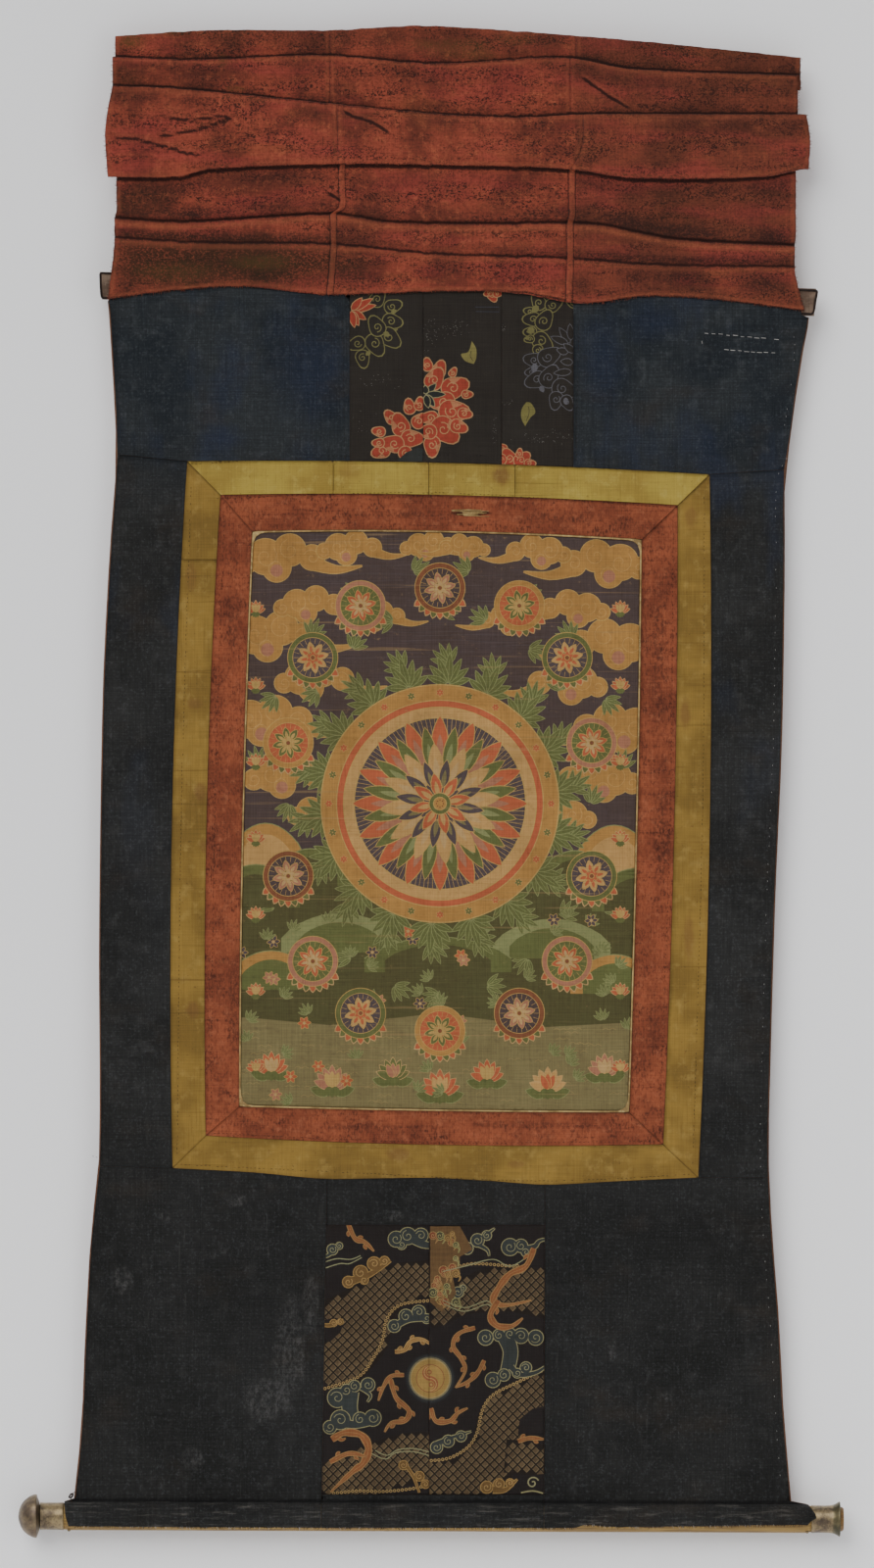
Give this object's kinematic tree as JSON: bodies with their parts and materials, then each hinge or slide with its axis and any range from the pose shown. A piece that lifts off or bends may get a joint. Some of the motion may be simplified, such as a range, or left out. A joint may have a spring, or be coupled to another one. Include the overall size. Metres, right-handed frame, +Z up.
{
  "type": "thangka scroll painting with top batten and roller",
  "caption": "Hanging scroll painting in red and yellow silk borders on a blue cloth mount with brocade panels, a pleated red veil above its top batten and a wooden roller with metal ends below.",
  "frame": {"origin": "middle of the veil's top edge, where the hanging is held", "axes": "+X to the right and +Z up for a viewer facing the painting, +Y toward the wall behind it"},
  "size_m": [0.8424, 0.0452, 1.5431],
  "materials": {
    "veil_silk": "worn thin silk, slightly glossy",
    "batten_cover": "matt plain weave",
    "blue_cotton": "matt plain weave, scuffed",
    "brocade": "patterned silk weave, low sheen",
    "yellow_silk": "plain silk, low sheen",
    "red_silk": "plain silk, scuffed",
    "gold_piping": "rolled silk cord",
    "painted_canvas": "matt mineral paint on sized cotton",
    "lining_cloth": "matt plain weave",
    "turned_wood": "worn bare wood",
    "dull_brass": "tarnished, lightly dented"
  },
  "bodies": {
    "root": {"veil_left": "veil_silk", "veil_middle": "veil_silk", "veil_right": "veil_silk", "top_batten": "batten_cover", "top_blue_left": "blue_cotton", "top_brocade_left": "brocade", "top_brocade_middle": "brocade", "top_brocade_right": "brocade", "top_blue_right": "blue_cotton", "side_blue_left": "blue_cotton", "side_blue_right": "blue_cotton", "yellow_top_1": "yellow_silk", "yellow_top_2": "yellow_silk", "yellow_top_3": "yellow_silk", "yellow_top_4": "yellow_silk", "yellow_left_1": "yellow_silk", "yellow_left_2": "yellow_silk", "yellow_right": "yellow_silk", "yellow_bottom": "yellow_silk", "red_top": "red_silk", "red_left": "red_silk", "red_right": "red_silk", "red_bottom": "red_silk", "gold_piping": "gold_piping", "painting": "painted_canvas", "lower_blue_left": "blue_cotton", "lower_blue_right": "blue_cotton", "strip_above_brocade": "blue_cotton", "lower_brocade_left": "brocade", "lower_brocade_right": "brocade", "strip_below_brocade": "blue_cotton", "lining": "lining_cloth", "roller": "turned_wood", "ferrule_left": "dull_brass", "ferrule_right": "dull_brass", "knob_left": "dull_brass"}
  },
  "joints": []
}
